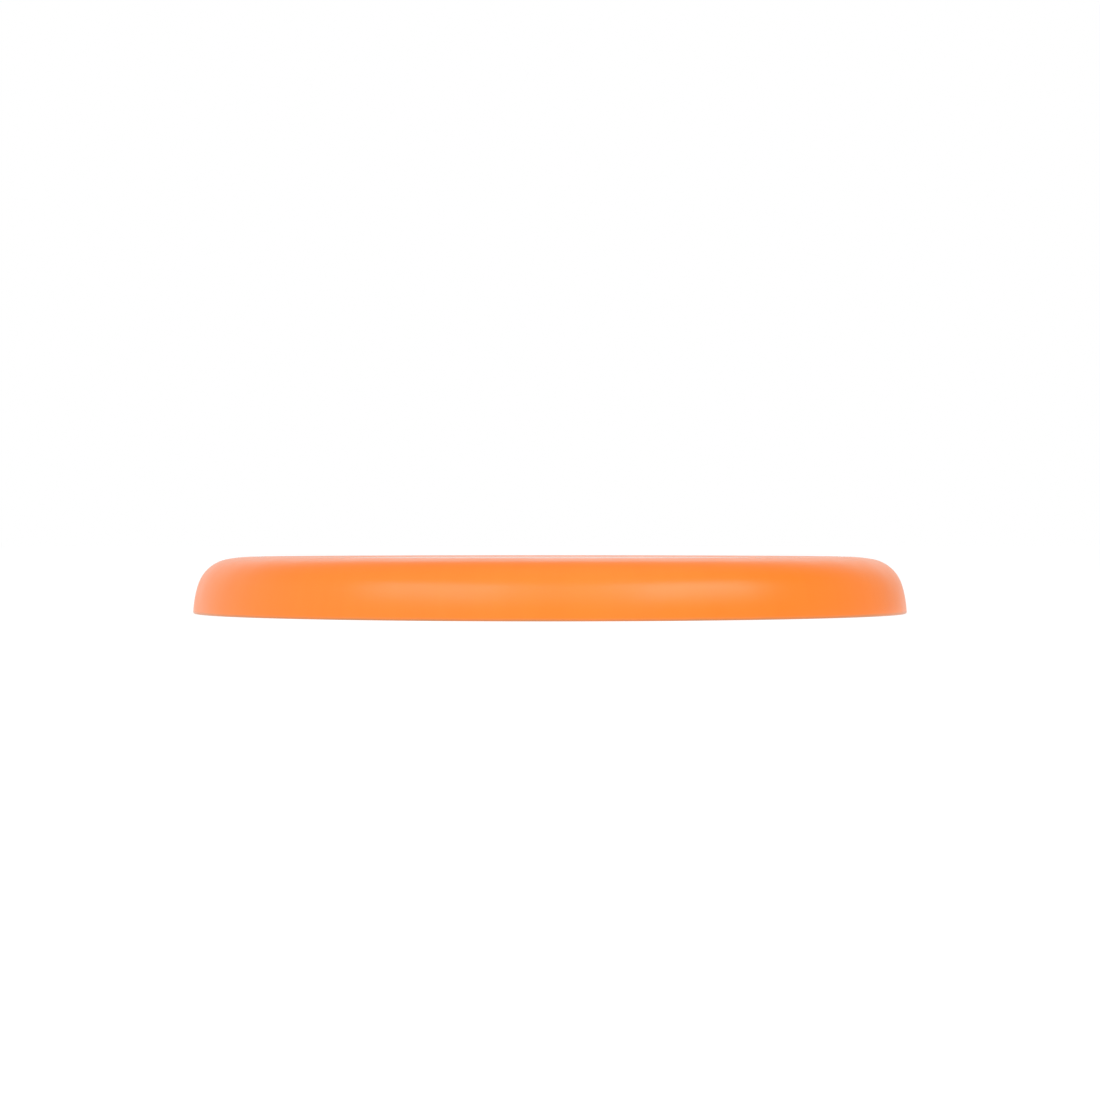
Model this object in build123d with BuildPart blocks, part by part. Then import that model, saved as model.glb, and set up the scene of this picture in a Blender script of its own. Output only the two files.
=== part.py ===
"""A lawn-game flying disc, moulded in one shot.

The disc is a thin shell of revolution: a flat flight plate, a low step up to the
crest, a rounded shoulder, and a deep rim that ends in a flat foot. Millimetres,
+Z up. The origin is the centre of the plane that the foot stands on.
"""

from build123d import *

import os
from math import acos, cos, degrees, radians

# Driving dimensions of the outside
disc_diameter = 220.0
disc_height = 17.4  # foot to crest
skin = 1.7  # wall thickness of the plate and the shoulder

# The rim's outer wall, from the foot up: it leans in, then turns in three arcs
wall_lean = 1.5
wall_radius, wall_turn = 32.0, 16.0
shoulder_radius, shoulder_turn = 11.5, 62.0

# The rim's inner wall opens downwards so that it leaves the core, and is thickest at the foot
core_draft = 0.5
core_radius = 12.0
foot_fillet = 0.5

# The plate lies a little below the crest, and a gentle step of two equal arcs joins them
plate_drop = 0.3
step_radius = 40.0

# Shallow concentric grooves in the top of the plate, for the thumb
groove_count = 6
groove_outer_radius = 80.0
groove_spacing = 3.4
groove_depth = 0.3
groove_round = 0.9

# The pad and the trimmed stub where the plastic enters the mould, under the plate's centre
gate_pad_radius, gate_pad_height = 6.0, 0.5
gate_stub_radius, gate_stub_height = 1.5, 0.4
gate_fillet = 0.2

# Worked out from the dimensions above
plate_top = disc_height - plate_drop
plate_underside = plate_top - skin
pad_underside = plate_underside - gate_pad_height
step_turn = degrees(acos(1 - plate_drop / (2 * step_radius)))
crown_turn = 90 - wall_lean - wall_turn - shoulder_turn


def left_of(line, distance):
    """The point beside the end of a line, on its left."""
    return line @ 1 + (line % 1).rotate(Axis.Z, 90) * distance


def tangent_arcs(start, tangent, arcs, inset=0.0):
    """Draws arcs end to end, each parallel to its (radius, turn) and inset to the left of it.

    A positive turn is to the left. Returns the last arc.
    """
    for radius, turn in arcs:
        own_radius = radius - inset if turn > 0 else radius + inset
        arc = JernArc(start, tangent, own_radius, turn)
        start, tangent = arc @ 1, arc % 1
    return arc


def crown_radius(shoulder_end):
    """The radius that takes the crown from the shoulder's end up to the crest."""
    return (disc_height - shoulder_end.Y) / (1 - cos(radians(crown_turn)))


def shell_outline():
    """Draws the closed half section of the shell: outer skin upwards, then inner skin downwards."""
    foot_corner = Vector(disc_diameter / 2, 0)
    lean = Vector(0, 1).rotate(Axis.Z, wall_lean)
    wall = JernArc(foot_corner, lean, wall_radius, wall_turn)
    shoulder = JernArc(wall @ 1, wall % 1, shoulder_radius, shoulder_turn)
    over_the_crest = [
        (crown_radius(shoulder @ 1), crown_turn),
        (step_radius, step_turn),
        (step_radius, -step_turn),
    ]
    outer_end = tangent_arcs(shoulder @ 1, shoulder % 1, over_the_crest) @ 1

    core_top = left_of(wall, skin)
    core = JernArc(core_top, (wall % 1) * -1, core_radius, core_draft - wall_lean - wall_turn)
    down = core % 1
    core_foot = core @ 1 + down * ((core @ 1).Y / -down.Y)
    Line(core @ 1, core_foot)
    Line(core_foot, foot_corner)
    inner_arcs = [(shoulder_radius, shoulder_turn), *over_the_crest]
    inner_end = tangent_arcs(core_top, wall % 1, inner_arcs, inset=skin) @ 1

    Polyline(outer_end, (0, outer_end.Y), (0, inner_end.Y), inner_end)


def cut_grooves():
    """Cuts the grooves, which are round at the bottom, into the top of the plate."""
    height = plate_top - groove_depth + groove_round
    radii = [groove_outer_radius - n * groove_spacing for n in range(groove_count)]
    with Locations(*[(radius, height) for radius in radii]):
        Circle(groove_round, mode=Mode.SUBTRACT)


def add_gate():
    """Adds the half section of the gate's pad and stub, which hang from the plate."""
    hanging = (Align.MIN, Align.MAX)
    with Locations((0, plate_underside)):
        Rectangle(gate_pad_radius, gate_pad_height, align=hanging)
        Rectangle(gate_stub_radius, gate_pad_height + gate_stub_height, align=hanging)


with BuildPart() as disc:
    with BuildSketch(Plane.XZ) as half_section:
        with BuildLine():
            shell_outline()
        make_face()
        fillet(half_section.vertices().group_by(Axis.Y)[0], radius=foot_fillet)
        cut_grooves()
        add_gate()
    revolve(axis=Axis.Z)

    pad_circles = disc.edges().filter_by(GeomType.CIRCLE).filter_by_position(
        Axis.Z, pad_underside, pad_underside
    )
    fillet(pad_circles.sort_by(SortBy.RADIUS)[-1], radius=gate_fillet)

disc.part.label = "disc"

os.makedirs("parts", exist_ok=True)
export_step(disc.part, "parts/disc.step")
print("volume", round(disc.part.volume), "mm3", "size", disc.part.bounding_box().size)
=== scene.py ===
"""The look of a moulded lawn-game flying disc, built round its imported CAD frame.

One clean lathed mesh stands for the CAD disc. Metres, +Z up, the disc's axis on the
Z axis, its foot on the floor, and the camera looking along +Y.
"""

from math import acos, asin, cos, pi, radians, sin, sqrt

import bmesh
import bpy
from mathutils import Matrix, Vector


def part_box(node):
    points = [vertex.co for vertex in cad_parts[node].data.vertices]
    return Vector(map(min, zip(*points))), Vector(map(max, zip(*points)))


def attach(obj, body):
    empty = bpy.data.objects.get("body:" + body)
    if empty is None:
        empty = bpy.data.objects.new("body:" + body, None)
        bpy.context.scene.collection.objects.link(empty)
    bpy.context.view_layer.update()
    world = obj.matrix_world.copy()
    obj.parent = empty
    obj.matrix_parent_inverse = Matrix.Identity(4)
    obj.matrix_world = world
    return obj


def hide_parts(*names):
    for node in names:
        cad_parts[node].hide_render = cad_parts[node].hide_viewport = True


# The disc's section, as the CAD has it
SKIN = 0.0017
FOOT_FILLET = 0.0005
WALL_LEAN = radians(1.5)
WALL_RADIUS, WALL_TURN = 0.032, radians(16)
SHOULDER_RADIUS, SHOULDER_TURN = 0.0115, radians(62)
CROWN_TURN = radians(90) - WALL_LEAN - WALL_TURN - SHOULDER_TURN
PLATE_DROP = 0.0003
STEP_RADIUS = 0.040
STEP_TURN = acos(1 - PLATE_DROP / (2 * STEP_RADIUS))
CORE_DRAFT = radians(0.5)
CORE_RADIUS = 0.012
GROOVE_COUNT = 6
GROOVE_OUTER_RADIUS, GROOVE_SPACING = 0.080, 0.0034
GROOVE_DEPTH, GROOVE_ROUND = 0.0003, 0.0009
PAD_RADIUS, PAD_HEIGHT, PAD_FILLET = 0.006, 0.0005, 0.0002
STUB_RADIUS, STUB_HEIGHT = 0.0015, 0.0004

# Small radii that the tool leaves where the CAD's corners are sharp
GROOVE_EDGE_FILLET = 0.0002
STUB_FILLET = 0.00015

# Mesh density: the segments round the rim, which halve inside each of these radii
RIM_SEGMENTS = 256
HALVING_RADII = (0.050, 0.025, 0.0125)
FLAT_RING_SPACING = 0.0035
SMALLEST_RING = 1e-7  # a smaller ring is a single vertex on the axis

# The camera, in metres from the disc's axis and above its foot, with its lens and sensor in millimetres
CAMERA_DISTANCE = 0.995
CAMERA_HEIGHT = 0.0222
CAMERA_TILT = radians(0.16)
CAMERA_LENS = 105
SENSOR = 36

# The white room's brightness: ramps over one axis of a direction, as start, end and the share at each
ROOM_LEFT = (-0.75, -0.25, 0.85, 1)
ROOM_RIGHT = (0.25, 0.75, 1, 0.46)
ROOM_FRONT = (-1, -0.82, 0.65, 1)
CEILING_FRONT_TO_BACK = (-0.2, 0.7, 0.85, 0.45)
CEILING_FROM, CEILING_FULL = sin(radians(18)), sin(radians(45))

# Three softboxes in front, as name: azimuth to the right of the camera, width and radiance
SOFTBOXES = {
    "key": (radians(49), 1.2, 3.0),
    "middle": (radians(2), 1.1, 0.8),
    "fill": (radians(-40), 1.2, 2.3),
}
SOFTBOX_ELEVATION = radians(34)
SOFTBOX_DISTANCE = 1.6
SOFTBOX_HEIGHT = 0.7

# Orange plastic, its marks and the painted shade at its foot, as linear colours
PALER_ORANGE = (0.96, 0.218, 0.010, 1)
DEEPER_ORANGE = (0.94, 0.200, 0.006, 1)
# Dark brown painted shade for the foot's lowest edge, standing for the contact shadow against the floor
FOOT_PAINTED_SHADE = (0.42, 0.215, 0.085, 1)

# The noise behind each kind of unevenness, and the range that noise values mostly keep to
PATCH_NOISE = {"scale": 14, "detail": 3}
STREAK_NOISE = {"scale": 20, "detail": 3}
FOOT_SHADE_NOISE = {"scale": 60, "detail": 4}
SATIN_NOISE = {"scale": 90, "detail": 4, "roughness": 0.6}
PEEL_NOISE = {"scale": 650, "detail": 2}
NOISE_RANGE = (0.3, 0.7)

# The most of the paler orange that patches and streaks each bring
PATCH_SHARE, STREAK_SHARE = 0.6, 0.4
FLOW_STRETCH = 1.2  # a metre along a flow mark changes it as much as this many radians across it

# The line of painted shade at the foot, standing for the contact shadow on the floor: its strength there, the
# height where it ends and its share where it is thinnest
FOOT_SHADE_STRENGTH = 0.75
FOOT_SHADE_HEIGHT = 0.0012
FOOT_SHADE_THINNEST = 0.7

# Satin roughness. It stays above 0.27, because noise that crosses that value leaves specks in a denoised
# render. At a grazing angle, between two values of Layer Weight's facing, it falls to a share of itself.
SATIN_ROUGHNESS = (0.28, 0.33)
GRAZING_FROM, GRAZING_FULL = 0.985, 0.995
GRAZING_SHARE = 0.65
PEEL_STRENGTH, PEEL_DEPTH = 0.25, 0.00002
PLASTIC_IOR = 1.5

FLOOR_WHITE = 0.22
FLOOR_GLOW = 0.86
FLOOR_ROUGHNESS = 0.9
FLOOR_HALF_WIDTH = 12.0


class Pen:
    """Draws an outline in the half plane of radius and height. What it outlines lies on its left."""

    def __init__(self, radius, height, heading):
        self.place = Vector((radius, height))
        self.heading = heading
        self.points = [self.place.copy()]

    def step(self, length, turn):
        """One straight piece of an arc: half of the turn before it and half after it."""
        self.heading += turn / 2
        self.place += length * Vector((cos(self.heading), sin(self.heading)))
        self.heading += turn / 2
        self.points.append(self.place.copy())

    def line(self, length, pieces=1):
        for _ in range(pieces):
            self.step(length / pieces, 0)

    def arc(self, radius, turn, pieces):
        """A positive turn is to the left."""
        for _ in range(pieces):
            self.step(2 * radius * sin(abs(turn) / pieces / 2), turn / pieces)


def flat_to(pen, radius):
    """Draws level to a radius, with rings close enough for well-shaped faces."""
    length = abs(radius - pen.place.x)
    pen.line(length, max(1, round(length / FLAT_RING_SPACING)))


def draw_groove(pen, middle):
    """Draws one groove, round at the bottom, from its outer edge to its inner edge."""
    rise = GROOVE_ROUND - GROOVE_DEPTH + GROOVE_EDGE_FILLET
    reach = GROOVE_ROUND + GROOVE_EDGE_FILLET
    half_width = sqrt(reach ** 2 - rise ** 2)
    turn = acos(rise / reach)
    flat_to(pen, middle + half_width)
    pen.arc(GROOVE_EDGE_FILLET, turn, pieces=3)
    pen.arc(GROOVE_ROUND, -2 * turn, pieces=8)
    pen.arc(GROOVE_EDGE_FILLET, turn, pieces=3)


def outside_outline(radius, height):
    """The points from the foot's outer fillet, up the rim and over the plate to the axis.

    The plate's radius and the crown's radius of curvature come with them.
    """
    wall_start = asin((FOOT_FILLET + WALL_RADIUS * sin(WALL_LEAN)) / (WALL_RADIUS - FOOT_FILLET))
    pen = Pen(radius - FOOT_FILLET, 0, 0)
    pen.arc(FOOT_FILLET, pi / 2 + wall_start, pieces=6)
    pen.arc(WALL_RADIUS, WALL_LEAN + WALL_TURN - wall_start, pieces=14)
    pen.arc(SHOULDER_RADIUS, SHOULDER_TURN, pieces=18)
    crown_radius = (height - pen.place.y) / (1 - cos(CROWN_TURN))
    pen.arc(crown_radius, CROWN_TURN, pieces=12)
    pen.arc(STEP_RADIUS, STEP_TURN, pieces=5)
    pen.arc(STEP_RADIUS, -STEP_TURN, pieces=5)
    plate_radius = pen.place.x
    for n in range(GROOVE_COUNT):
        draw_groove(pen, GROOVE_OUTER_RADIUS - n * GROOVE_SPACING)
    flat_to(pen, 0)
    return pen.points, plate_radius, crown_radius


def gate_outline(pen, underside):
    """Draws the gate's stub and pad, outwards from the axis, to the plate's underside."""
    corner = pi / 2
    flat_to(pen, STUB_RADIUS - STUB_FILLET)
    pen.arc(STUB_FILLET, corner, pieces=3)
    pen.line(STUB_HEIGHT - 2 * STUB_FILLET)
    pen.arc(STUB_FILLET, -corner, pieces=3)
    flat_to(pen, PAD_RADIUS - PAD_FILLET)
    pen.arc(PAD_FILLET, corner, pieces=4)
    pen.line(underside - pen.place.y - PAD_FILLET)
    pen.arc(PAD_FILLET, -corner, pieces=4)


def inside_outline(height, plate_radius, crown_radius):
    """The points from the gate at the axis, out under the plate and down the core to the foot."""
    underside = height - PLATE_DROP - SKIN
    pen = Pen(0, underside - PAD_HEIGHT - STUB_HEIGHT, 0)
    gate_outline(pen, underside)
    flat_to(pen, plate_radius)
    pen.arc(STEP_RADIUS + SKIN, STEP_TURN, pieces=5)
    pen.arc(STEP_RADIUS - SKIN, -STEP_TURN, pieces=5)
    pen.arc(crown_radius - SKIN, -CROWN_TURN, pieces=10)
    pen.arc(SHOULDER_RADIUS - SKIN, -SHOULDER_TURN, pieces=14)
    core_turn = WALL_LEAN + WALL_TURN - CORE_DRAFT
    pen.arc(CORE_RADIUS, -core_turn, pieces=8)
    foot_turn = pi / 2 - CORE_DRAFT
    pen.line((pen.place.y - FOOT_FILLET * (1 - cos(foot_turn))) / cos(CORE_DRAFT), pieces=3)
    pen.arc(FOOT_FILLET, foot_turn, pieces=6)
    return pen.points


def segments_at(radius):
    """How many segments a ring of this radius has."""
    return RIM_SEGMENTS >> sum(radius < limit for limit in HALVING_RADII)


def make_ring(mesh, point):
    """One ring of the lathe, or a single vertex on the axis."""
    radius, height = point
    count = segments_at(radius) if radius > SMALLEST_RING else 1
    angles = [2 * pi * n / count for n in range(count)]
    return [mesh.verts.new((radius * sin(angle), -radius * cos(angle), height)) for angle in angles]


def join_rings(mesh, one, other):
    """Faces between two rings: quads, three triangles where the segments halve, or a fan at the axis."""
    fine, coarse = (one, other) if len(one) >= len(other) else (other, one)
    count = len(coarse)
    for n in range(len(fine)):
        after = fine[(n + 1) % len(fine)]
        if count == 1:
            mesh.faces.new((fine[n], after, coarse[0]))
        elif count == len(fine):
            mesh.faces.new((fine[n], after, coarse[(n + 1) % count], coarse[n]))
        elif n % 2 == 0:
            mesh.faces.new((fine[n], after, coarse[n // 2]))
        else:
            mesh.faces.new((fine[n], coarse[(n // 2 + 1) % count], coarse[n // 2]))
            mesh.faces.new((fine[n], after, coarse[(n // 2 + 1) % count]))


def make_disc(radius, height):
    """The disc's mesh, lathed from its outline."""
    outside, plate_radius, crown_radius = outside_outline(radius, height)
    inside = inside_outline(height, plate_radius, crown_radius)
    mesh = bmesh.new()
    outer_rings = [make_ring(mesh, point) for point in outside]
    inner_rings = [make_ring(mesh, point) for point in inside]
    for rings in (outer_rings, inner_rings, [inner_rings[-1], outer_rings[0]]):
        for one, other in zip(rings, rings[1:]):
            join_rings(mesh, one, other)
    bmesh.ops.recalc_face_normals(mesh, faces=mesh.faces)
    for face in mesh.faces:
        face.smooth = True
    data = bpy.data.meshes.new("flying_disc")
    mesh.to_mesh(data)
    mesh.free()
    disc = bpy.data.objects.new("flying_disc", data)
    bpy.context.scene.collection.objects.link(disc)
    return disc


def feed(tree, socket, value):
    """Gives a socket a plain value or another node's output."""
    if isinstance(value, bpy.types.NodeSocket):
        tree.links.new(value, socket)
    else:
        socket.default_value = value


def add_node(tree, kind, settings=None, **inputs):
    """A shader node with its settings and its named inputs."""
    node = tree.nodes.new(kind)
    for name, value in (settings or {}).items():
        setattr(node, name, value)
    for name, value in inputs.items():
        feed(tree, node.inputs[name.replace("_", " ")], value)
    return node


def maths(tree, kind, operation, *values):
    """The outputs of a maths node of one kind, for numbers or vectors, whose inputs come in order."""
    node = add_node(tree, kind, {"operation": operation})
    for socket, value in zip(node.inputs, values):
        feed(tree, socket, value)
    return node.outputs


def new_material(name):
    """A material with its node tree and its Principled shader."""
    material = bpy.data.materials.new(name)
    material.use_nodes = True
    return material, material.node_tree, material.node_tree.nodes["Principled BSDF"]


def noise(tree, place, scale, detail, roughness=0.5):
    """A noise texture's value at a place."""
    node = add_node(tree, "ShaderNodeTexNoise", Vector=place, Scale=scale, Detail=detail, Roughness=roughness)
    return node.outputs["Fac"]


def ramp(tree, value, start, end, low, high, kind="SMOOTHSTEP"):
    """A value that runs from low to high while another runs from start to end."""
    node = add_node(
        tree, "ShaderNodeMapRange", {"interpolation_type": kind},
        Value=value, From_Min=start, From_Max=end, To_Min=low, To_Max=high,
    )
    return node.outputs["Result"]


def spread(tree, value, low, high):
    """A noise value, taken from its usual range to run from low to high."""
    return ramp(tree, value, *NOISE_RANGE, low, high, kind="LINEAR")


def times(tree, one, other):
    """The product of two values."""
    return maths(tree, "ShaderNodeMath", "MULTIPLY", one, other)["Value"]


def mix_colours(tree, share, one, other):
    """A blend of two colours, each a value or another node's output."""
    node = add_node(tree, "ShaderNodeMix", {"data_type": "RGBA"}, Factor=share)
    feed(tree, node.inputs["A"], one)
    feed(tree, node.inputs["B"], other)
    return node.outputs["Result"]


def flow_from_gate(tree, place):
    """A place for a texture, so that it runs in streaks outwards from the gate on the disc's axis."""
    kind = "ShaderNodeVectorMath"
    level = maths(tree, kind, "MULTIPLY", place, (1, 1, 0))["Vector"]
    bearing = maths(tree, kind, "NORMALIZE", level)["Vector"]
    radius = maths(tree, kind, "LENGTH", level)["Value"]
    along = add_node(tree, "ShaderNodeCombineXYZ", Z=times(tree, radius, FLOW_STRETCH)).outputs["Vector"]
    return maths(tree, kind, "ADD", bearing, along)["Vector"]


def plastic_colour(tree, place):
    """Orange that drifts a little, in patches and in flow marks, with a line of painted shade at the foot
    where the contact shadow falls.
    """
    patches = spread(tree, noise(tree, place, **PATCH_NOISE), 0, PATCH_SHARE)
    streaks = spread(tree, noise(tree, flow_from_gate(tree, place), **STREAK_NOISE), 0, STREAK_SHARE)
    drift = maths(tree, "ShaderNodeMath", "ADD", patches, streaks)["Value"]
    orange = mix_colours(tree, drift, DEEPER_ORANGE, PALER_ORANGE)
    height = add_node(tree, "ShaderNodeSeparateXYZ", Vector=place).outputs["Z"]
    # Painted contact shade: the colour darkens to brown towards the foot, broken up by noise
    painted_foot_shade = times(
        tree,
        ramp(tree, height, 0, FOOT_SHADE_HEIGHT, FOOT_SHADE_STRENGTH, 0),
        spread(tree, noise(tree, place, **FOOT_SHADE_NOISE), FOOT_SHADE_THINNEST, 1),
    )
    return mix_colours(tree, painted_foot_shade, orange, FOOT_PAINTED_SHADE)


def plastic_gloss(tree, place):
    """Roughness: an uneven satin that looks glossier at a grazing angle, as real satin does."""
    satin = spread(tree, noise(tree, place, **SATIN_NOISE), *SATIN_ROUGHNESS)
    facing = add_node(tree, "ShaderNodeLayerWeight").outputs["Facing"]
    return times(tree, satin, ramp(tree, facing, GRAZING_FROM, GRAZING_FULL, 1, GRAZING_SHARE))


def moulded_plastic():
    """Satin orange polypropylene with a soft orange-peel skin."""
    material, tree, shader = new_material("orange_plastic")
    place = add_node(tree, "ShaderNodeTexCoord").outputs["Object"]
    tree.links.new(plastic_colour(tree, place), shader.inputs["Base Color"])
    tree.links.new(plastic_gloss(tree, place), shader.inputs["Roughness"])
    peel = noise(tree, place, **PEEL_NOISE)
    bump = add_node(tree, "ShaderNodeBump", Strength=PEEL_STRENGTH, Distance=PEEL_DEPTH, Height=peel)
    tree.links.new(bump.outputs["Normal"], shader.inputs["Normal"])
    shader.inputs["IOR"].default_value = PLASTIC_IOR
    return material


def floor_material():
    """White acrylic, lit from below as a light table is, so that hardly any shadow is left."""
    material, _, shader = new_material("studio_floor")
    shader.inputs["Base Color"].default_value = (FLOOR_WHITE, FLOOR_WHITE, FLOOR_WHITE, 1)
    shader.inputs["Roughness"].default_value = FLOOR_ROUGHNESS
    shader.inputs["Specular IOR Level"].default_value = 0.0
    shader.inputs["Emission Color"].default_value = (1, 1, 1, 1)
    shader.inputs["Emission Strength"].default_value = FLOOR_GLOW
    return material


def make_floor():
    """A wide level floor that the disc lies on."""
    data = bpy.data.meshes.new("studio_floor")
    signs = [(-1, -1), (1, -1), (1, 1), (-1, 1)]
    corners = [(x * FLOOR_HALF_WIDTH, y * FLOOR_HALF_WIDTH, 0) for x, y in signs]
    data.from_pydata(corners, [], [(0, 1, 2, 3)])
    floor = bpy.data.objects.new("studio_floor", data)
    bpy.context.scene.collection.objects.link(floor)
    data.materials.append(floor_material())


def add_softbox(name, azimuth, width, radiance):
    """A soft area light that faces the disc. Azimuth is round from the camera, to its right."""
    data = bpy.data.lights.new(name, "AREA")
    data.shape = "RECTANGLE"
    data.size, data.size_y = width, SOFTBOX_HEIGHT
    data.energy = radiance * pi * width * SOFTBOX_HEIGHT
    light = bpy.data.objects.new(name, data)
    level = cos(SOFTBOX_ELEVATION)
    out = Vector((sin(azimuth) * level, -cos(azimuth) * level, sin(SOFTBOX_ELEVATION)))
    light.location = out * SOFTBOX_DISTANCE
    light.rotation_euler = out.to_track_quat("Z", "Y").to_euler()
    bpy.context.scene.collection.objects.link(light)


def white_room():
    """The world: a white backdrop in a white room that is dimmer overhead, at its sides and in front."""
    world = bpy.data.worlds.new("studio")
    world.use_nodes = True
    tree = world.node_tree
    direction = add_node(tree, "ShaderNodeTexCoord").outputs["Generated"]
    axes = add_node(tree, "ShaderNodeSeparateXYZ", Vector=direction).outputs
    overhead = ramp(tree, axes["Y"], *CEILING_FRONT_TO_BACK)
    ceiling = ramp(tree, axes["Z"], CEILING_FROM, CEILING_FULL, 1, overhead)
    front = ramp(tree, axes["Y"], *ROOM_FRONT)
    left = ramp(tree, axes["X"], *ROOM_LEFT)
    right = ramp(tree, axes["X"], *ROOM_RIGHT)
    lighting = times(tree, times(tree, ceiling, front), times(tree, left, right))
    backdrop = add_node(tree, "ShaderNodeLightPath").outputs["Is Camera Ray"]
    tree.links.new(ramp(tree, backdrop, 0, 1, lighting, 1), tree.nodes["Background"].inputs["Strength"])
    tree.nodes["Background"].inputs["Color"].default_value = (1, 1, 1, 1)
    bpy.context.scene.world = world


def light_studio():
    """The white room and the softboxes."""
    white_room()
    for name, (azimuth, width, radiance) in SOFTBOXES.items():
        add_softbox(name, azimuth, width, radiance)


def add_camera():
    """A camera in front of the disc, just above its top and all but level."""
    data = bpy.data.cameras.new("camera")
    data.lens = CAMERA_LENS
    data.sensor_width = SENSOR
    camera = bpy.data.objects.new("camera", data)
    camera.location = (0, -CAMERA_DISTANCE, CAMERA_HEIGHT)
    camera.rotation_euler = (pi / 2 - CAMERA_TILT, 0, 0)
    bpy.context.scene.collection.objects.link(camera)
    bpy.context.scene.camera = camera


def plain_colours():
    """Shows the render's own colours, with no film curve."""
    view = bpy.context.scene.view_settings
    view.view_transform = "Standard"
    view.look = "None"


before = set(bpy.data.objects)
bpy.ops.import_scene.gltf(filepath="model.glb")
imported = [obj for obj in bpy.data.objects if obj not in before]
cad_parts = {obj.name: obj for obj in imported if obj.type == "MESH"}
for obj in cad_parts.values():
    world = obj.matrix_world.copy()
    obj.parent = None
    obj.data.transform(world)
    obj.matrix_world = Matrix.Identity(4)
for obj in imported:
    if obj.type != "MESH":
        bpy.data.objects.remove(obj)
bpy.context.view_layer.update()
lowest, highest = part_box("disc")

disc = make_disc(highest.x, highest.z - lowest.z)
disc.data.materials.append(moulded_plastic())
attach(disc, "root")
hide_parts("disc")

make_floor()
light_studio()
add_camera()
plain_colours()
